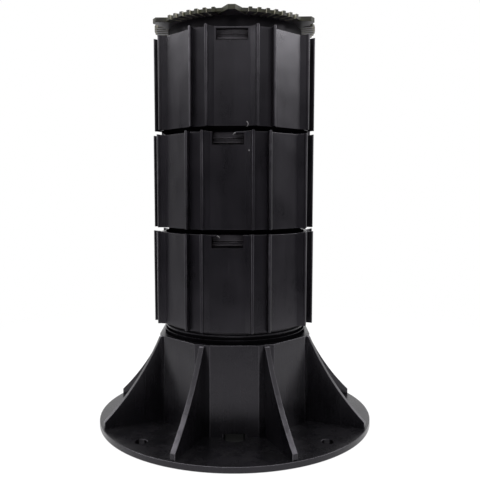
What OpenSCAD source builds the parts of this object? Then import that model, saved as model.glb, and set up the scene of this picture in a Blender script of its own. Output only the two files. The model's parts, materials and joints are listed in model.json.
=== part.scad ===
// Adjustable decking pedestal, moulded in black plastic: a round gusseted base,
// three identical extension collars and a toothed head, each screwed into the
// piece below it until its shoulder seats. Sizes are in millimetres. The origin
// is the centre of the base's underside, +Z is up and -Y is the front.

/* [Base] */
// Diameter of the base flange
base_d = 200; // [190:1:240]
// Thickness of the base flange
flange_t = 4; // [3:0.5:6]
// Height of the base, up to the seat of the lowest collar
base_h = 71; // [60:1:90]
// Wall of the base column at the middle of a wide panel
column_wall = 4.1; // [3.2:0.1:6]
// Width of each wide panel of the base column
column_panel_w = 32.8; // [28:0.2:36]
// Height of the round ring on top of the base column
column_ring_h = 5; // [3:0.5:8]
// Wall of that ring
column_ring_wall = 1.8; // [1.6:0.1:3]
// Height of the narrower lip on top of the ring
ring_lip_h = 2.2; // [1:0.1:2.8]
// How far the lip stands back from the ring
ring_lip_step = 0.9; // [0.3:0.1:1.1]
// Thickness of the gussets
gusset_t = 3.6; // [2.5:0.1:5]
// How far the gussets stand out from the column at their top
gusset_nose = 3.6; // [3:0.2:8]
// How far the gussets end below the top of the column's panels
gusset_drop = 1; // [0.5:0.5:4]
// Depth of the hollow in the gussets' sloping edge
gusset_hollow = 3.4; // [2:0.1:6]
// Height of the gussets' outer end above the flange
gusset_end_h = 4.2; // [2:0.2:10]
// Distance from the gussets' outer end to the flange's edge
gusset_inset = 1.5; // [0.5:0.1:4]
// Width of the drain holes at the column's foot
drain_w = 15; // [8:0.5:20]
// How far the drain holes rise into the column's wall
drain_rise = 2; // [0.5:0.5:4]
// Diameter of the fixing holes in the flange
fixing_d = 8; // [4:0.5:10]
// Distance from the middle of a fixing hole to the flange's edge
fixing_inset = 13; // [8:0.5:20]

/* [Thread] */
// Outer diameter of the male threads
thread_d = 100; // [90:1:106]
// Depth of the male threads
thread_depth = 1.3; // [0.8:0.1:1.8]
// Pitch of the threads
thread_pitch = 3; // [2.5:0.5:5]
// Length of each threaded neck below its shoulder
neck_len = 40; // [30:1:50]
// Wall of the necks under the thread
neck_wall = 2.4; // [1.6:0.1:4]
// Gap between the threads and the bores around them
thread_gap = 0.3; // [0.2:0.05:0.5]
// Width of the ring on which a shoulder seats
seat_w = 1; // [0.6:0.1:1.5]
// Height of the lip with which a shoulder seats
seat_h = 0.8; // [0.6:0.1:1.5]
// Depth of the groove over that lip
groove_depth = 2.2; // [1:0.1:2.6]

/* [Extension collars] */
// Height of a collar's ribbed body
collar_h = 65.1; // [60:0.1:90]
// Height of the round shoulder under a collar's body
shoulder_h = 3.7; // [2:0.1:8]
// Wall of a collar at the middle of a panel
collar_wall = 3.3; // [2:0.1:5]
// Width of each flat panel
panel_w = 24; // [20:0.2:26]
// How far the rib crests stand out from the panels
rib_h = 6.7; // [5:0.1:9]
// Width of a rib's crest
rib_w = 2; // [1:0.1:2.5]
// Height of a rib's upright outer side, above the sloping flank
rib_wall = 2.6; // [1.5:0.1:3.5]
// Width of the channel between the two ribs of a pair
channel_w = 10.2; // [8:0.2:12]
// How far a channel's floor stands out from the panels
channel_rise = 1.9; // [1:0.1:3]
// How far the rib tops stand over the rim
rib_rise = 0.9; // [0.3:0.1:1.5]
// How much narrower the ribs stand at the foot of a collar
rib_draft = 0.6; // [0.2:0.1:1.2]
// Thickness of the web that carries a collar's neck
web_t = 3; // [2:0.5:6]
// Width of the window in a collar's front panel
window_w = 20.8; // [14:0.2:22]
// Height of that window
window_h = 7.2; // [4:0.2:10]
// Height of the bar over the window
window_bar = 1.3; // [1:0.1:3]
// Length of the stub, on the left, of the lower collar's broken bar
lower_stub = 3.2; // [1:0.1:6]
// Length of the stub, on the right, of the middle collar's broken bar
middle_stub = 5.2; // [1:0.1:6]

/* [Head] */
// Height of the plain shoulder between the collar and the head's plate
head_shoulder_h = 8.8; // [6:0.2:14]
// Thickness of the plate between its teeth
plate_t = 2.4; // [1.6:0.1:4]
// Diameter of the plate at the roots of its teeth
plate_d = 115; // [112:0.2:130]
// How far the teeth stand out past the roots
tooth_out = 1.5; // [0.8:0.1:3]
// How far the teeth stand up over the plate's rim, level with its middle
tooth_rise = 0.5; // [0.2:0.1:1]
// How far the teeth stand down under the plate
tooth_drop = 0.4; // [0.2:0.1:1.5]
// Length of the teeth on top of the plate, inwards from the roots
tooth_len = 5.5; // [3:0.5:6]
// Width of a tooth at its root
tooth_w = 3.4; // [2:0.1:4]
// How far the six tabs reach past the roots
tab_out = 6; // [4:0.2:10]
// Width of a tab at its tip
tab_tip_w = 5; // [3:0.5:8]
// Width of a tab at the plate
tab_root_w = 22; // [16:0.5:23]
// Diameter of the hole in the middle of the plate
head_hole_d = 16; // [6:1:30]
// Diameter of the screw holes in the plate
head_screw_d = 5; // [3:0.5:8]
// Diameter of the circle that the screw holes lie on
head_screw_pcd = 70; // [50:1:78]

/* [Turn of each piece as screwed, in degrees] */
// Lower collar
lower_turn = -5; // [-20:0.5:20]
// Middle collar
middle_turn = -4.5; // [-20:0.5:20]
// Upper collar
upper_turn = -1.5; // [-20:0.5:20]
// Head
head_turn = -1.5; // [-20:0.5:20]

/* [Hidden] */
$fn = 96;
plastic = "#232326";

// Cuts run past the faces that they open by this much
past = 1;
// The forms that make up one moulding run this far into each other
merge = 1;
collars = 3;
panels = 8;
panel_step = 360 / panels;
half_step = panel_step / 2;
drains = 4;
fixings = 4;
tabs = 6;
teeth_between_tabs = 7;
tooth_step = 6;
// The tip of a tooth is this share of its root's width
tooth_tip_share = 0.7;
head_screws = 4;

thread_r = thread_d / 2;
thread_root_r = thread_r - thread_depth;
neck_r = thread_root_r - neck_wall;
bore_r = thread_r + thread_gap;
shoulder_r = bore_r + seat_w;
groove_r = shoulder_r - groove_depth;
// Parts of the pitch that a thread's flanks and its crest take
flank_share = 0.25;
crest_share = 0.2;

column_r = bore_r + column_wall;
column_corner = atan2(column_panel_w / 2, column_r);
column_corner_r = column_r / cos(column_corner);
column_ring_r = bore_r + column_ring_wall;
column_top = base_h - column_ring_h;
fixing_r = base_d / 2 - fixing_inset;

// Ends of the gussets' sloping edge, and the arc that hollows it
gusset_top = [column_r + gusset_nose, column_top - gusset_drop];
gusset_foot = [base_d / 2 - gusset_inset, flange_t + gusset_end_h];
gusset_run = gusset_foot - gusset_top;
gusset_slope = norm(gusset_run);
gusset_arc_r = (pow(gusset_slope / 2, 2) + pow(gusset_hollow, 2)) / (2 * gusset_hollow);
gusset_out = [-gusset_run.y, gusset_run.x] / gusset_slope;
gusset_arc_at = (gusset_top + gusset_foot) / 2 + gusset_out * (gusset_arc_r - gusset_hollow);

panel_r = bore_r + collar_wall;
rib_r = panel_r + rib_h;
channel_r = panel_r + channel_rise;
rib_foot_r = rib_r - rib_wall;
collar_pitch = shoulder_h + collar_h;

plate_r = plate_d / 2;
crown_r = plate_r - tooth_len;
crown_t = plate_t + tooth_rise;
head_t = crown_t + tooth_drop;
// Teeth and tabs run in under the plate until they end in the shoulder
edge_root_r = groove_r - merge;
head_seat = base_h + collars * collar_pitch;

// Point d out from the axis and t to the right of the direction deg, which turns
// from the front towards the right
function at(deg, t, d) = [d * sin(deg) + t * cos(deg), t * sin(deg) - d * cos(deg)];

// Places its child at the radius and direction given
module around(count, first, r) {
    for (k = [0:count - 1])
        rotate(first + k * 360 / count)
            translate([0, -r])
                children();
}

// Male neck that ends in a shoulder of height h, which seats at z = 0 with a lip
// and is grooved over it. The thread is drawn as level turns.
module threaded_neck(h) {
    turns = floor(neck_len / thread_pitch) - 1;
    flank = thread_pitch * flank_share;
    crest = thread_pitch * crest_share;
    turn = [
        [thread_root_r, 0],
        [thread_r, flank],
        [thread_r, flank + crest],
        [thread_root_r, 2 * flank + crest],
    ];
    rotate_extrude()
        polygon([
            [neck_r, -neck_len],
            [thread_root_r, -neck_len],
            for (k = [0:turns - 1], p = turn) p + [0, (k + 0.5) * thread_pitch - neck_len],
            [thread_root_r, 0],
            [shoulder_r, 0],
            [shoulder_r, seat_h],
            [groove_r, seat_h],
            [groove_r, h + merge],
            [neck_r, h + merge],
        ]);
}

// Section of the base column: eight wide panels with narrow strips between them
module column_section() {
    polygon([
        for (k = [0:panels - 1], side = [-1, 1])
            at(k * panel_step + side * column_corner, 0, column_corner_r)
    ]);
}

// Upright gusset at the front, from inside the column's wall to the flange's edge
module gusset() {
    translate([gusset_t / 2, 0, 0])
        rotate([90, 0, -90])
            linear_extrude(gusset_t)
                difference() {
                    polygon([
                        [bore_r + column_wall / 2, flange_t / 2],
                        [gusset_foot.x, flange_t / 2],
                        gusset_foot,
                        gusset_top,
                        [bore_r + column_wall / 2, gusset_top.y],
                    ]);
                    translate(gusset_arc_at)
                        circle(r = gusset_arc_r);
                }
}

module base() {
    color(plastic)
        difference() {
            union() {
                cylinder(d = base_d, h = flange_t);
                linear_extrude(column_top)
                    column_section();
                cylinder(r = column_ring_r, h = base_h - ring_lip_h);
                cylinder(r = column_ring_r - ring_lip_step, h = base_h);
                for (k = [0:panels - 1])
                    rotate(half_step + k * panel_step)
                        gusset();
            }
            translate([0, 0, -past])
                cylinder(r = bore_r, h = base_h + 2 * past);
            translate([0, 0, -past])
                around(drains, 0, column_r)
                    cylinder(d = drain_w, h = flange_t + drain_rise + past);
            translate([0, 0, -past])
                around(fixings, panel_step, fixing_r)
                    cylinder(d = fixing_d, h = flange_t + 2 * past);
        }
}

// Section of a collar: flat panels, and between them sloping flanks that rise to
// pairs of upright ribs with a straight-sided channel
module collar_section() {
    rib_side = channel_w / 2 + rib_w;
    polygon([
        for (k = [0:panels - 1])
            let (panel = k * panel_step, pair = panel + half_step)
                each [
                    at(panel, -panel_w / 2, panel_r),
                    at(panel, panel_w / 2, panel_r),
                    at(pair, -rib_side, rib_foot_r),
                    at(pair, -rib_side, rib_r),
                    at(pair, -channel_w / 2, rib_r),
                    at(pair, -channel_w / 2, channel_r),
                    at(pair, channel_w / 2, channel_r),
                    at(pair, channel_w / 2, rib_r),
                    at(pair, rib_side, rib_r),
                    at(pair, rib_side, rib_foot_r),
                ]
    ]);
}

// Collar with the underside of its shoulder at z = 0. The bar over its window is
// missing between the two places in gap, which are equal on a whole bar.
module collar(gap) {
    difference() {
        translate([0, 0, shoulder_h])
            intersection() {
                linear_extrude(collar_h + rib_rise)
                    collar_section();
                rotate_extrude()
                    polygon([
                        [0, 0],
                        [rib_r - rib_draft, 0],
                        [rib_r, collar_h + rib_rise],
                        [panel_r, collar_h],
                        [0, collar_h],
                    ]);
            }
        translate([0, 0, shoulder_h + web_t])
            cylinder(r = bore_r, h = collar_h);
        translate([0, 0, shoulder_h - past])
            cylinder(r = neck_r, h = collar_h);
        translate([-window_w / 2, -rib_r, collar_pitch - window_bar - window_h])
            cube([window_w, rib_r, window_h]);
        if (gap[1] > gap[0])
            translate([gap[0], -rib_r, collar_pitch - window_bar - past])
                cube([gap[1] - gap[0], rib_r, window_bar + 2 * past]);
    }
    threaded_neck(shoulder_h);
}

module seated_collar(place, turn, gap) {
    color(plastic)
        translate([0, 0, base_h + place * collar_pitch])
            rotate(turn)
                collar(gap);
}

module lower_collar() {
    seated_collar(0, lower_turn, [lower_stub - window_w / 2, window_w / 2]);
}

module middle_collar() {
    seated_collar(1, middle_turn, [-window_w / 2, window_w / 2 - middle_stub]);
}

module upper_collar() {
    seated_collar(2, upper_turn, [0, 0]);
}

// Tooth at the front of the plate, with its outer end past the roots
module tooth() {
    polygon([
        at(0, -tooth_w / 2, edge_root_r),
        at(0, tooth_w / 2, edge_root_r),
        at(0, tooth_w / 2 * tooth_tip_share, plate_r + tooth_out),
        at(0, -tooth_w / 2 * tooth_tip_share, plate_r + tooth_out),
    ]);
}

// Tab at the front of the plate
module tab() {
    polygon([
        at(0, -tab_root_w / 2, edge_root_r),
        at(0, tab_root_w / 2, edge_root_r),
        at(0, tab_tip_w / 2, plate_r + tab_out),
        at(0, -tab_tip_w / 2, plate_r + tab_out),
    ]);
}

// Teeth and tabs round the edge of the plate
module head_edge() {
    first = 180 / tabs - tooth_step * (teeth_between_tabs - 1) / 2;
    for (k = [0:tabs - 1])
        rotate(k * 360 / tabs) {
            tab();
            for (n = [0:teeth_between_tabs - 1])
                rotate(first + n * tooth_step)
                    tooth();
        }
}

module head() {
    color(plastic)
        translate([0, 0, head_seat])
            rotate(head_turn) {
                difference() {
                    translate([0, 0, head_shoulder_h - tooth_drop]) {
                        translate([0, 0, tooth_drop]) {
                            cylinder(r = plate_r, h = plate_t);
                            cylinder(r = crown_r, h = crown_t);
                        }
                        linear_extrude(head_t)
                            head_edge();
                    }
                    translate([0, 0, head_shoulder_h - past]) {
                        cylinder(d = head_hole_d, h = crown_t + 2 * past);
                        around(head_screws, panel_step, head_screw_pcd / 2)
                            cylinder(d = head_screw_d, h = crown_t + 2 * past);
                    }
                }
                threaded_neck(head_shoulder_h);
            }
}

base();
lower_collar();
middle_collar();
upper_collar();
head();
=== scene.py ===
"""Looks of a black plastic decking pedestal: a gusseted base, three ribbed collars and a toothed head."""
import json
import math

import bmesh
import bpy
from mathutils import Matrix, Vector


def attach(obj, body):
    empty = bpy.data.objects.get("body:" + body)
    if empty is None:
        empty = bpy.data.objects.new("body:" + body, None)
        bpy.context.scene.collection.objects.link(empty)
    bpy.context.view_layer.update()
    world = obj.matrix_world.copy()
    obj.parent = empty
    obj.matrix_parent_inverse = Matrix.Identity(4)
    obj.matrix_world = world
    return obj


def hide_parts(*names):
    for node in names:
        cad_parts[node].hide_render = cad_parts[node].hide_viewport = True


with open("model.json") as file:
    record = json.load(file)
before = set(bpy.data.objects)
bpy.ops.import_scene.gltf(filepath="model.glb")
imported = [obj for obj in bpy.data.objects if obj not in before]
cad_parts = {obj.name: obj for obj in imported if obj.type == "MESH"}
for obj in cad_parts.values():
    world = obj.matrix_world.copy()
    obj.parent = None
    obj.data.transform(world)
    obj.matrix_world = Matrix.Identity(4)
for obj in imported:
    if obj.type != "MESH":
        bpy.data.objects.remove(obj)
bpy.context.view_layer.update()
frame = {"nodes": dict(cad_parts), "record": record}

# Camera, fitted to the photograph's 480 pixel frame
FRAME_PX = 480
FOCAL_PX = 622.8
AXIS_Y_PX = 214.5
SENSOR_MM = 36
CAMERA_AT = (0.0038, -0.4669, 0.1688)
CAMERA_DOWN = math.radians(2.09)

# How far a face looks up or away from the axis, as a share of its normal
UPRIGHT = 0.2
STEEP = 0.3
SLOPING = 0.5
MOSTLY = 0.9
STRAIGHT = 0.95

# Rounded edges of each plastic: fine ones, and larger ones where an edge stands free.
# The rub says how light the middle of such an edge is made: wear, and a painted highlight on edges that
# don't look down.
FINE_ROUND = {"base_plastic": 0.00025, "collar_plastic": 0.00025, "head_plastic": 0.00018}
FINE_STEPS = 2
FINE_RUB_AND_HIGHLIGHT = {"base_plastic": 0.0, "collar_plastic": 0.7, "head_plastic": 0.7}
FREE_ROUND = {"base_plastic": 0.00042, "collar_plastic": 0.0008}
FREE_STEPS = 4
FREE_RUB_AND_HIGHLIGHT = {"base_plastic": 0.25, "collar_plastic": 0.5}
SHARP_EDGE = math.radians(20)
ROUNDING_FOLD = math.radians(40)
FLAT_FOLD = math.radians(12)
ACROSS = 0.5

# Mending of the meshes
SAME_POINT = 0.00002
SAME_PLANE = math.radians(0.3)
STRIP_WIDTH = 0.0005
STRIP_TILT = math.radians(12)
FOLDED_FLAT = math.radians(150)

# Places on the base: heights, and distances from the axis
FLANGE_TOP = 0.0042
GUSSET_ROOT = 0.0545
GUSSET_TIP = 0.0990
GUSSET_TOP = 0.0645
RING_FOOT = 0.0655
DRAIN_REACH = 0.0635
FIXING_REACH = (0.0825, 0.0920)

# Places on the collars
CREST_RADIUS = 0.0590
CREST_LENGTH = 0.02
WINDOW_AT = {"lower_collar": 0.1349, "middle_collar": 0.2037, "upper_collar": 0.2725}
WINDOW_REACH = (0.0505, 0.0549)
WINDOW_TALL = 0.008
GAP_RADIUS = 0.0525
GROOVE_RADIUS = 0.0490

# Places on the threads and the head
THREAD_RADIUS = 0.0502
THREAD_CREST = 0.0499
THREAD_ROOT = 0.0480
HEAD_SEAT = 0.2774
PLATE_FOOT = 0.2865
RIM_RADIUS = 0.0560
RIDGE_RADIUS = 0.0515

# Painted highlight, from 0 to 1, on the gussets and the ribs' crests. On the gussets' edges it fades over a
# height, lighter towards the foot. On the threads, wear at the crests and painted light.
GUSSET_HIGHLIGHT = 0.75
GUSSET_HIGHLIGHT_FADE = 0.050
CREST_HIGHLIGHT = {"lower_collar": 0.02, "middle_collar": 0.03, "upper_collar": 0.10}
# Threads' roots: painted light, so that threads in shade show lines
ROOT_WORN_AND_LIT = {"base": 0.0, "lower_collar": 0.3, "middle_collar": 0.3, "upper_collar": 0.3, "head": 0.9}

# Painted shade, from 0 to 1: a dull black in windows, holes, seats, grooves, on undersides and on the head's
# rim
SEAT_SHADE = {"lower_collar": 0.35, "middle_collar": 1.0, "upper_collar": 1.0, "head": 0.72}
UNDERSIDES = ("middle_collar", "upper_collar")
HOLE_SHADE = 0.3
WINDOW_SHADE = 0.85
RIM_SHADE = 0.3

# Scuffs on the collars: turn from the front in degrees, millimetres across, out and up
SCUFF_RADIUS = 0.0007
SCUFF_CORE = 0.4
SCUFFS = [(-4.5, 14.1, 55.1, 196.1), (66, -6.1, 60.3, 237.8), (-69, 6.1, 60.3, 233.9)]

# Torn curls on the front panels: collar, its turn, then the middle of the curl across, out and up,
# its radius and the angles it runs between, from the right and turning upwards
CURLS = [
    ("upper_collar", -1.5, (8.6, 53.8, 213.6), 2.0, 60, -60),
    ("middle_collar", -4.5, (5.6, 52.0, 205.4), 2.8, 100, 160),
    ("lower_collar", -5.0, (-7.4, 52.0, 137.2), 2.2, 80, 10),
]
CURL_THICK = 0.0003
CURL_TAPER = 0.8
CURL_STEPS = 8
CURL_SIDES = 7

# Colours of the plastic
DEEP_BLACK = (0.0016, 0.0015, 0.0020, 1)
BLACK = (0.0032, 0.0029, 0.0038, 1)
GREY_BLACK = (0.0060, 0.0054, 0.0070, 1)
CHARCOAL = (0.0150, 0.0125, 0.0160, 1)
# Painted shade: the dull black that shaded windows, holes, seats, grooves and undersides mix to
PAINTED_SHADE_BLACK = (0.0020, 0.0018, 0.0022, 1)
# Grey of wear and of painted highlights on edges, crests and gussets; the drag marks take it too
WORN_AND_HIGHLIGHT_GREY = (0.105, 0.100, 0.112, 1)
# Wear at the threads' crests, and painted light on threads that lie in shade
THREAD_WORN_AND_LIT = (0.075, 0.070, 0.077, 1)
DUST = (0.060, 0.060, 0.056, 1)
# The head's rim: dust, and a painted lighter band where it catches light
DUSTY_RIM_HIGHLIGHT = (0.032, 0.034, 0.013, 1)
# Painted highlight on the shaded sides of the ridges under the head's teeth
PALE_PAINTED_HIGHLIGHT = (0.380, 0.365, 0.290, 1)
TORN = (0.30, 0.29, 0.30, 1)

# Marks in the plastic: how fine they are, and the values of the noise between which they show
FLOW_FINE = (90, 90, 14)
DRAG_FINE = (1500, 1500, 40)
CLOUD_FINE = 38.0
WAVE_FINE = 52.0
GRAIN_FINE = 2600.0
PATCH_FINE = 170.0
LINT_FINE = 420.0
FIBRE_FINE = 1500.0
TONE_SHOWS = (0.35, 0.65)
DRAG_SHOWS = (0.62, 0.74)
PATCH_SHOWS = (0.30, 0.62)
LINT_SHOWS = (0.075, 0.035)
FIBRE_SHOWS = (0.3, 0.6)
NOISE_MIDDLE = 0.5

# How strongly the marks colour the plastic, and the least share of those that are patchy
DRAG_TINT = 0.03
DUST_TINT = 0.03
LINT_TINT = 0.25
RUB_AND_HIGHLIGHT_TINT = 0.85
RUB_AND_HIGHLIGHT_LEAST = 0.45
RIM_LEAST = 0.4
WORN_AND_LIT_LEAST = 0.6

# How the plastic shines
PLASTIC_IOR = 1.49
COOL_TINT = (0.94, 0.90, 1.0, 1)
TONE_ROUGH = 0.24
GRAIN_ROUGH = 0.08
DRAG_ROUGH = 0.02
RIM_ROUGH = 0.12
TORN_ROUGH = 0.6
SWELL_HEIGHT = 0.00026
GRAIN_HEIGHT = 0.0002
GRAIN_STRENGTH = 0.12
FIBRE_HEIGHT = 0.0002
FIBRE_STRENGTH = 0.5

# Floor and room
WHITE = (1, 1, 1, 1)
PALE = (0.85, 0.85, 0.85, 1)
# Painted shadow: the floor's colour under the base
SHADED = (0.02, 0.02, 0.02, 1)
FLOOR_RADIUS = 4.0
FLOOR_SIDES = 96
UNDER_BASE = (0.094, 0.098)
# A faint painted glow of the floor under the base, seen by the camera
UNDER_GLOW = 0.007
SHADOW_REACH = (0.10, 0.45)
SHADOW_WHITE = 0.8
ROOM_LIGHT = 0.5

# Dark cloths: the middle and the sweep of each in degrees from the front, its inner radius and its height
FLAG_GREY = (0.060, 0.057, 0.066, 1)
FLAG_RADIUS = 1.5
FLAG_LIFT = 0.004
FLAG_STEPS = 48
FLAGS = [("front_flag", -26, 162, 0.34, 0.57), ("right_flag", 74, 38, 0.45, 0.80)]

# Softboxes: place, target, width, height and watts
SOFTBOXES = [
    ("left_softbox", (-0.95, -0.05, 0.80), (0, 0, 0.2), 0.5, 0.4, 7),
    ("right_softbox", (0.95, 0.0, 0.70), (0, 0, 0.2), 0.5, 0.4, 5.5),
    ("front_softbox", (0, -0.90, 0.95), (0, 0, 0.15), 0.6, 0.4, 4),
    ("top_softbox", (0, 0.10, 1.30), (0, 0, 0.15), 1.5, 0.6, 18),
]


class Signal:
    """One output in a finish's node tree. Sums on it add Math nodes there."""

    def __init__(self, finish, socket):
        self.finish = finish
        self.socket = socket

    def sum(self, operation, first, second):
        return self.finish.node("Math", {"operation": operation}, {0: first, 1: second})

    def __add__(self, other):
        return self.sum("ADD", self, other)

    def __radd__(self, other):
        return self.sum("ADD", other, self)

    def __sub__(self, other):
        return self.sum("SUBTRACT", self, other)

    def __rsub__(self, other):
        return self.sum("SUBTRACT", other, self)

    def __mul__(self, other):
        return self.sum("MULTIPLY", self, other)

    def __rmul__(self, other):
        return self.sum("MULTIPLY", other, self)


class Finish:
    """A material, or the world, whose nodes are added one by one."""

    def __init__(self, block):
        block.use_nodes = True
        self.block = block
        self.tree = block.node_tree
        self.tree.nodes.clear()

    def node(self, kind, settings=None, sockets=None, output=0):
        """Adds a node, sets its settings, then gives its sockets their values or links."""
        node = self.tree.nodes.new("ShaderNode" + kind)
        for name, value in (settings or {}).items():
            setattr(node, name, value)
        for name, value in (sockets or {}).items():
            socket = node.inputs[name] if isinstance(name, int) else self.open_input(node, name)
            if isinstance(value, Signal):
                self.tree.links.new(value.socket, socket)
            else:
                socket.default_value = value
        outputs = [s for s in node.outputs if s.enabled]
        if not outputs:
            return None
        found = outputs[output] if isinstance(output, int) else node.outputs[output]
        return Signal(self, found)

    @staticmethod
    def open_input(node, name):
        return next(s for s in node.inputs if s.name == name and s.enabled)

    def ramp(self, value, low, high):
        """0 below low, 1 above high."""
        return self.node("MapRange", {"interpolation_type": "SMOOTHSTEP"},
                         {"Value": value, "From Min": low, "From Max": high})

    def noise(self, place, scale=1.0, detail=2.0, stretch=(1, 1, 1)):
        mapped = self.node("Mapping", {}, {"Vector": place, "Scale": stretch})
        return self.node("TexNoise", {}, {"Vector": mapped, "Scale": scale, "Detail": detail})

    def blend(self, share, first, second):
        """Colour that goes from first to second."""
        return self.node("Mix", {"data_type": "RGBA"}, {"Factor": share, "A": first, "B": second})

    def spot(self, place, middle, radius):
        """1 at a point, 0 away from it."""
        apart = self.node("VectorMath", {"operation": "DISTANCE"}, {0: place, 1: middle}, output="Value")
        return self.ramp(apart, radius, radius * SCUFF_CORE)

    def mark(self, name):
        """A piece's own attribute, painted on its mesh."""
        return self.node("Attribute", {"attribute_name": name}, output="Fac")

    def surface(self, shader):
        self.node("OutputMaterial", {}, {"Surface": shader})


def at(turn, across, out, up):
    """Point on a side of the pedestal: the turn from the front in degrees, then millimetres."""
    side = Matrix.Rotation(math.radians(turn), 3, "Z")
    return side @ Vector((across, -out, up)) / 1000


def plastic_finish(name, roughness, gloss, dark, light, rim_colour=WORN_AND_HIGHLIGHT_GREY, scuffs=()):
    """Satin black polypropylene with flow marks, drag marks from the mould, rubbed edges and some dust. The
    rubbed edges are wear and a painted highlight; marks also paint highlights on rims, crests, gussets and
    ridges, light on threads in shade, and shade as a dull black.
    """
    finish = Finish(bpy.data.materials.new(name))
    place = finish.node("TexCoord", output="Object")
    flow = finish.noise(place, detail=3.0, stretch=FLOW_FINE)
    cloud = finish.noise(place, CLOUD_FINE)
    wave = finish.noise(place, WAVE_FINE, detail=1.0)
    grain = finish.noise(place, GRAIN_FINE)
    drag = finish.ramp(finish.noise(place, stretch=DRAG_FINE), *DRAG_SHOWS)
    patchy = finish.ramp(finish.noise(place, PATCH_FINE, detail=3.0), *PATCH_SHOWS)
    lint = finish.node("TexVoronoi", {}, {"Vector": place, "Scale": LINT_FINE, "Randomness": 1.0})
    lint = finish.ramp(lint, *LINT_SHOWS)
    tone = flow * 0.5 + cloud * 0.5
    # Wear and a painted highlight along the crowns of rounded edges
    rubbed_and_highlit = finish.mark("rubbed_and_highlit") * (RUB_AND_HIGHLIGHT_LEAST + (1 - RUB_AND_HIGHLIGHT_LEAST) * patchy)
    dusty = finish.mark("dusty") * patchy
    # Painted highlight on crests and gussets; on the head's rim, dust and a painted lighter band
    rim = finish.mark("rim") * (RIM_LEAST + (1 - RIM_LEAST) * patchy)
    # Wear at thread crests, and painted light on threads that lie in shade
    worn_and_lit = finish.mark("worn_and_lit") * (WORN_AND_LIT_LEAST + (1 - WORN_AND_LIT_LEAST) * patchy)
    colour = finish.blend(finish.ramp(tone, *TONE_SHOWS), dark, light)
    colour = finish.blend(drag * DRAG_TINT, colour, WORN_AND_HIGHLIGHT_GREY)
    colour = finish.blend(dusty * DUST_TINT + lint * LINT_TINT, colour, DUST)
    colour = finish.blend(rim, colour, rim_colour)
    # Painted highlight, pale, on the ridges under the head's teeth
    colour = finish.blend(finish.mark("ridge"), colour, PALE_PAINTED_HIGHLIGHT)
    colour = finish.blend(rubbed_and_highlit * RUB_AND_HIGHLIGHT_TINT, colour, WORN_AND_HIGHLIGHT_GREY)
    colour = finish.blend(worn_and_lit, colour, THREAD_WORN_AND_LIT)
    for scuff in scuffs:
        colour = finish.blend(finish.spot(place, at(*scuff), SCUFF_RADIUS) * patchy, colour, TORN)
    uneven = (tone - NOISE_MIDDLE) * TONE_ROUGH + (grain - NOISE_MIDDLE) * GRAIN_ROUGH
    swell = finish.node("Bump", {}, {"Height": wave, "Strength": 1.0, "Distance": SWELL_HEIGHT})
    bump = finish.node("Bump", {}, {
        "Height": grain,
        "Strength": GRAIN_STRENGTH,
        "Distance": GRAIN_HEIGHT,
        "Normal": swell,
    })
    shader = finish.node("BsdfPrincipled", {}, {
        "Base Color": colour,
        "Roughness": roughness + uneven + drag * DRAG_ROUGH + rim * RIM_ROUGH,
        "Normal": bump,
        "IOR": PLASTIC_IOR,
        "Specular IOR Level": gloss,
        "Specular Tint": COOL_TINT,
    })
    # Painted shade: where the mark is, the plastic mixes to a dull black
    shade_shader = finish.node("BsdfDiffuse", {}, {"Color": PAINTED_SHADE_BLACK})
    finish.surface(finish.node("MixShader", {}, {0: finish.mark("grime"), 1: shader, 2: shade_shader}))
    return finish.block


def torn_finish(name):
    """Plastic that went white where it was stretched and torn."""
    finish = Finish(bpy.data.materials.new(name))
    place = finish.node("TexCoord", output="Object")
    fibre = finish.noise(place, FIBRE_FINE, detail=3.0)
    bump = finish.node("Bump", {}, {"Height": fibre, "Strength": FIBRE_STRENGTH, "Distance": FIBRE_HEIGHT})
    finish.surface(finish.node("BsdfPrincipled", {}, {
        "Base Color": finish.blend(finish.ramp(fibre, *FIBRE_SHOWS), GREY_BLACK, TORN),
        "Roughness": TORN_ROUGH,
        "Normal": bump,
    }))
    return finish.block


def new_piece(name, bm):
    mesh = bpy.data.meshes.new(name)
    bm.to_mesh(mesh)
    bm.free()
    piece = bpy.data.objects.new(name, mesh)
    bpy.context.scene.collection.objects.link(piece)
    return piece


def from_axis(point):
    return math.hypot(point.x, point.y)


def outwards(face):
    """How far a face looks away from the axis, up to 1."""
    middle = face.calc_center_median()
    return (face.normal.x * middle.x + face.normal.y * middle.y) / from_axis(middle)


def join_strips(bm):
    """Joins strips that are narrower than a rounding to the almost level rim beside them."""
    strips = [e for e in bm.edges if e.calc_face_angle(math.pi) < STRIP_TILT
              and min(from_axis(v.co) for v in e.verts) > THREAD_RADIUS
              and min(f.calc_area() for f in e.link_faces) < STRIP_WIDTH * e.calc_length()]
    bmesh.ops.dissolve_edges(bm, edges=strips)


def sharp_edges(bm):
    """Edges that a mould rounds, but not those inside a rounding or on the threaded necks."""
    rounded = bm.faces.layers.int["rounded"]
    return [e for e in bm.edges if e.calc_face_angle_signed(0.0) > SHARP_EDGE
            and any(from_axis(v.co) > THREAD_RADIUS for v in e.verts)
            and not all(f[rounded] for f in e.link_faces)]


def is_free(node, edge):
    """True for edges that are rounder: on the gussets, the flange, the drains and the ribs' crests."""
    low, high = (v.co for v in edge.verts)
    inner = min(from_axis(low), from_axis(high))
    outer = max(from_axis(low), from_axis(high))
    if node == "base":
        lip = outer < DRAIN_REACH and min(low.z, high.z) > FLANGE_TOP / 2
        return inner > GUSSET_TIP or inner > GUSSET_ROOT and (lip or max(low.z, high.z) > FLANGE_TOP)
    return inner > CREST_RADIUS and abs(high.z - low.z) > CREST_LENGTH


def on_crown(vert, rounding):
    """True in the middle of a rounding, also at its end on a face that lies across it."""
    away = sum((f.normal for f in vert.link_faces if f in rounding), Vector()).normalized()
    return all(f in rounding or f.normal.dot(away) < ACROSS for f in vert.link_faces)


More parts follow.
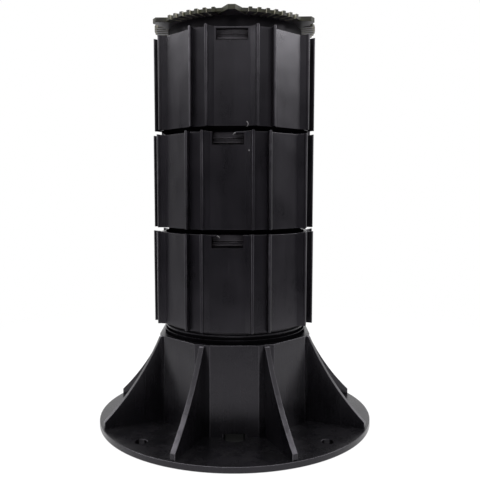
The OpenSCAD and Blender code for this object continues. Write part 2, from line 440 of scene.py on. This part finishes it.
def round_edges(bm, edges, size, steps, rub_and_highlight):
    """Rounds the edges and marks the middle of each rounding as a crown that wear and a painted highlight
    lighten, unless it looks down.
    """
    made = bmesh.ops.bevel(bm, geom=edges, offset=size, affect="EDGES", segments=steps,
                           profile=0.5, material=-1, clamp_overlap=False)
    bm.normal_update()
    crown = bm.verts.layers.float["crown"]
    rounded = bm.faces.layers.int["rounded"]
    rounding = set(made["faces"])
    for face in rounding:
        face[rounded] = 1
    for vert in made["verts"]:
        if vert.normal.z > -STEEP and on_crown(vert, rounding):
            vert[crown] = rub_and_highlight


def join_folds(bm):
    """Joins the specks that roundings fold flat where they meet to the faces that they lie on."""
    bmesh.ops.dissolve_degenerate(bm, edges=bm.edges, dist=SAME_POINT)
    bm.normal_update()
    bmesh.ops.dissolve_edges(bm, edges=[e for e in bm.edges if e.calc_face_angle(0.0) > FOLDED_FLAT])
    bm.normal_update()


def ridge_share(node, face):
    """1 on the sides of the ridges under the head's teeth, which get a pale painted highlight."""
    reach = from_axis(face.calc_center_median())
    return float(node == "head" and RIDGE_RADIUS < reach < RIM_RADIUS and abs(face.normal.z) < STEEP)


def rim_share(node, face):
    """Share of the rim's colour: dust and a painted lighter band on the head's rim, a painted highlight on
    the ribs' crests and on the gussets' tops and edges.
    """
    middle = face.calc_center_median()
    reach = from_axis(middle)
    if node == "head":
        return float(reach > RIM_RADIUS and face.normal.z > -SLOPING)
    if node == "base" and reach > GUSSET_ROOT and GUSSET_TOP < middle.z < RING_FOOT:
        return float(face.normal.z > STEEP)
    if node == "base" and STEEP < outwards(face) < STRAIGHT and GUSSET_ROOT < reach < GUSSET_TIP:
        return max(0.0, GUSSET_HIGHLIGHT - middle.z / GUSSET_HIGHLIGHT_FADE)
    return CREST_HIGHLIGHT.get(node, 0.0) if outwards(face) > MOSTLY and reach > CREST_RADIUS else 0.0


def in_window(node, face):
    """True on the four walls of a collar's window and on their rounded edges."""
    middle = face.calc_center_median()
    beside = WINDOW_REACH[0] < from_axis(middle) < WINDOW_REACH[1] and abs(outwards(face)) < STRAIGHT
    return beside and middle.y < 0 and abs(middle.z - WINDOW_AT[node]) < WINDOW_TALL / 2


def painted_shade_share(node, face):
    """Share of painted shade on a face: a dull black painted in windows, in holes and at the seats, on rims,
    on undersides and in grooves.
    """
    outer = max(from_axis(v.co) for v in face.verts)
    upright = abs(face.normal.z) < UPRIGHT
    if node in WINDOW_AT and in_window(node, face):
        return WINDOW_SHADE
    if node in UNDERSIDES and face.normal.z < -MOSTLY:
        return 1.0
    if node == "base" and upright and FIXING_REACH[0] < outer < FIXING_REACH[1]:
        return HOLE_SHADE if max(v.co.z for v in face.verts) < FLANGE_TOP else 0.0
    if node == "head" and outer > RIM_RADIUS and abs(face.normal.z) < SLOPING:
        return RIM_SHADE
    if outer > GAP_RADIUS or face.calc_center_median().z > PLATE_FOOT:
        return 0.0
    if node == "base":
        return float(upright and outer > THREAD_RADIUS and min(v.co.z for v in face.verts) > RING_FOOT)
    seated = outer > (GROOVE_RADIUS if upright else THREAD_RADIUS)
    return SEAT_SHADE[node] if seated else 0.0


def thread_wear_and_light(node, point):
    """How far a thread is lightened, more at its crests: wear, and painted light on threads that lie in
    shade. The head's shoulder isn't.
    """
    if point.z > HEAD_SEAT:
        return 0.0
    return 1.0 if from_axis(point) > THREAD_CREST else ROOT_WORN_AND_LIT[node]


def rounded_moulding(node, slot):
    """Stands in for a CAD node: a copy of its mesh with the sharp edges rounded, as a moulding's are."""
    bm = bmesh.new()
    bm.from_mesh(frame["nodes"][node].data)
    bmesh.ops.remove_doubles(bm, verts=bm.verts, dist=SAME_POINT)
    bmesh.ops.dissolve_limit(bm, angle_limit=SAME_PLANE, verts=bm.verts, edges=bm.edges)
    bmesh.ops.recalc_face_normals(bm, faces=bm.faces)
    if slot == "collar_plastic":
        join_strips(bm)
    rounded = bm.faces.layers.int.new("rounded")
    crown = bm.verts.layers.float.new("crown")
    rubbed_and_highlit = bm.loops.layers.float.new("rubbed_and_highlit")
    dusty = bm.faces.layers.float.new("dusty")
    rim = bm.faces.layers.float.new("rim")
    ridge = bm.faces.layers.float.new("ridge")
    grime = bm.faces.layers.float.new("grime")
    if slot in FREE_ROUND:
        free = [e for e in sharp_edges(bm) if is_free(node, e)]
        round_edges(bm, free, FREE_ROUND[slot], FREE_STEPS, FREE_RUB_AND_HIGHLIGHT[slot])
    round_edges(bm, sharp_edges(bm), FINE_ROUND[slot], FINE_STEPS, FINE_RUB_AND_HIGHLIGHT[slot])
    join_folds(bm)
    # Threads: wear at the crests, and painted light where they lie in shade
    worn_and_lit = bm.verts.layers.float.new("worn_and_lit")
    for vert in bm.verts:
        if THREAD_ROOT < from_axis(vert.co) < THREAD_RADIUS:
            vert[worn_and_lit] = thread_wear_and_light(node, vert.co)
    for face in bm.faces:
        face.smooth = True
        face[dusty] = max(0.0, face.normal.z)
        # Painted highlight on rims, crests and gussets
        face[rim] = rim_share(node, face)
        # Painted highlight on the ridges under the head's teeth
        face[ridge] = ridge_share(node, face)
        # Painted shade on the face, a dull black
        face[grime] = painted_shade_share(node, face)
        for corner in face.loops:
            # Wear and a painted highlight on the crowns of roundings
            corner[rubbed_and_highlit] = corner.vert[crown] if face[rounded] else 0.0
    for edge in bm.edges:
        on_rounding = edge.calc_face_angle_signed(0.0) > 0 and any(f[rounded] for f in edge.link_faces)
        edge.smooth = edge.calc_face_angle(0.0) < (ROUNDING_FOLD if on_rounding else FLAT_FOLD)
    piece = new_piece(node + "_moulding", bm)
    keep_flats = piece.modifiers.new("keep_flats", "WEIGHTED_NORMAL")
    keep_flats.keep_sharp = True
    return piece


def torn_curl(name, turn, middle, radius, start, stop):
    """Thin curl of torn plastic that tapers along an arc on a collar's front."""
    bm = bmesh.new()
    across, out, up = middle
    side = Matrix.Rotation(math.radians(turn), 4, "Z")
    rings = []
    for step in range(CURL_STEPS + 1):
        share = step / CURL_STEPS
        angle = math.radians(start + (stop - start) * share)
        centre = at(turn, across + radius * math.cos(angle), out, up + radius * math.sin(angle))
        place = Matrix.Translation(centre) @ side @ Matrix.Rotation(-angle, 4, "Y")
        thick = CURL_THICK * (1 - CURL_TAPER * share)
        ring = bmesh.ops.create_circle(bm, segments=CURL_SIDES, radius=thick, matrix=place)
        rings.append({e for v in ring["verts"] for e in v.link_edges})
    for ring, following in zip(rings, rings[1:]):
        bmesh.ops.bridge_loops(bm, edges=list(ring | following))
    bmesh.ops.holes_fill(bm, edges=bm.edges, sides=CURL_SIDES)
    bmesh.ops.recalc_face_normals(bm, faces=bm.faces)
    for face in bm.faces:
        face.smooth = True
    return new_piece(name, bm)


def add_camera():
    data = bpy.data.cameras.new("camera")
    data.sensor_width = SENSOR_MM
    data.lens = FOCAL_PX / FRAME_PX * SENSOR_MM
    data.shift_y = (AXIS_Y_PX - FRAME_PX / 2) / FRAME_PX
    camera = bpy.data.objects.new("camera", data)
    camera.location = CAMERA_AT
    camera.rotation_euler = (math.pi / 2 - CAMERA_DOWN, 0, 0)
    bpy.context.scene.collection.objects.link(camera)
    bpy.context.scene.camera = camera


def add_softbox(name, place, target, width, height, watts):
    data = bpy.data.lights.new(name, "AREA")
    data.shape = "RECTANGLE"
    data.size = width
    data.size_y = height
    data.energy = watts
    lamp = bpy.data.objects.new(name, data)
    lamp.location = place
    lamp.rotation_euler = (Vector(target) - Vector(place)).to_track_quat("-Z", "Y").to_euler()
    bpy.context.scene.collection.objects.link(lamp)


def staged(name, bm, finish):
    """Object of the studio, not of the pedestal."""
    thing = new_piece(name, bm)
    thing.data.materials.append(finish.block)
    return thing


def white_seen(finish):
    """1 for rays that should meet a white background, 0 for the rays that carry diffuse light."""
    seen = finish.node("LightPath", output="Is Camera Ray")
    mirrored = finish.node("LightPath", output="Is Glossy Ray")
    through = finish.node("LightPath", output="Is Transmission Ray")
    return seen + mirrored + through


def add_floor():
    """Pale floor, white to the camera but for the shadow round the base. Under the base its colour is a
    painted shadow, the dusk inside the column, with a faint painted glow to the camera.
    """
    finish = Finish(bpy.data.materials.new("floor"))
    place = finish.node("TexCoord", output="Object")
    away = finish.node("VectorMath", {"operation": "LENGTH"}, {0: place}, output="Value")
    # Under the base the floor takes a painted shadow colour and a faint painted glow
    lit = finish.ramp(away, *UNDER_BASE)
    far = finish.ramp(away, *SHADOW_REACH)
    matt = finish.node("BsdfDiffuse", {}, {"Color": finish.blend(lit, SHADED, PALE)})
    white = finish.node("Emission", {}, {"Color": WHITE, "Strength": 1.0})
    glow = UNDER_GLOW + (1 - UNDER_GLOW) * lit
    share = white_seen(finish) * glow * (SHADOW_WHITE + (1 - SHADOW_WHITE) * far)
    finish.surface(finish.node("MixShader", {}, {0: share, 1: matt, 2: white}))
    bm = bmesh.new()
    bmesh.ops.create_circle(bm, cap_ends=True, segments=FLOOR_SIDES, radius=FLOOR_RADIUS)
    staged("floor", bm, finish)


def add_flag(name, middle, sweep, inner, height):
    """Dark cloth on part of the studio's floor and wall, which only reflections show."""
    finish = Finish(bpy.data.materials.new(name))
    finish.surface(finish.node("BsdfDiffuse", {}, {"Color": FLAG_GREY}))
    bm = bmesh.new()
    profile = [(inner, FLAG_LIFT), (FLAG_RADIUS, FLAG_LIFT), (FLAG_RADIUS, height)]
    posts = [bm.verts.new((0, -out, up)) for out, up in profile]
    edges = [bm.edges.new(pair) for pair in zip(posts, posts[1:])]
    start = Matrix.Rotation(math.radians(middle - sweep / 2), 3, "Z")
    bmesh.ops.rotate(bm, verts=bm.verts, matrix=start)
    bmesh.ops.spin(bm, geom=posts + edges, axis=(0, 0, 1), angle=math.radians(sweep), steps=FLAG_STEPS)
    flag = staged(name, bm, finish)
    flag.visible_camera = False
    flag.visible_diffuse = False
    flag.visible_shadow = False
    flag.visible_transmission = False


def add_world():
    world = bpy.data.worlds.new("studio")
    bpy.context.scene.world = world
    finish = Finish(world)
    lit = finish.node("Background", {}, {"Color": WHITE, "Strength": ROOM_LIGHT})
    white = finish.node("Background", {}, {"Color": WHITE, "Strength": 1.0})
    both = finish.node("MixShader", {}, {0: white_seen(finish), 1: lit, 2: white})
    finish.node("OutputWorld", {}, {"Surface": both})


finishes = {
    "base_plastic": plastic_finish(
        "base_plastic", roughness=0.27, gloss=0.43, dark=DEEP_BLACK, light=BLACK),
    "collar_plastic": plastic_finish(
        "collar_plastic", roughness=0.30, gloss=0.5, dark=BLACK, light=GREY_BLACK, scuffs=SCUFFS),
    # The head takes lighter colours than the collars and the base, a painted lightening of its shaded
    # underside
    "head_plastic": plastic_finish(
        "head_plastic", roughness=0.34, gloss=0.5, dark=GREY_BLACK, light=CHARCOAL, rim_colour=DUSTY_RIM_HIGHLIGHT),
}
for sub in frame["record"]["subparts"]:
    node = sub["node"]
    slot = sub["material_slot"]
    moulding = rounded_moulding(node, slot)
    moulding.data.materials.append(finishes[slot])
    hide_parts(node)
    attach(moulding, node)

torn = torn_finish("torn_plastic")
for collar, turn, middle, radius, start, stop in CURLS:
    curl = torn_curl(collar + "_curl", turn, middle, radius, start, stop)
    curl.data.materials.append(torn)
    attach(curl, collar)

add_camera()
add_floor()
for flag_row in FLAGS:
    add_flag(*flag_row)
add_world()
for softbox_row in SOFTBOXES:
    add_softbox(*softbox_row)
bpy.context.scene.view_settings.view_transform = "Standard"
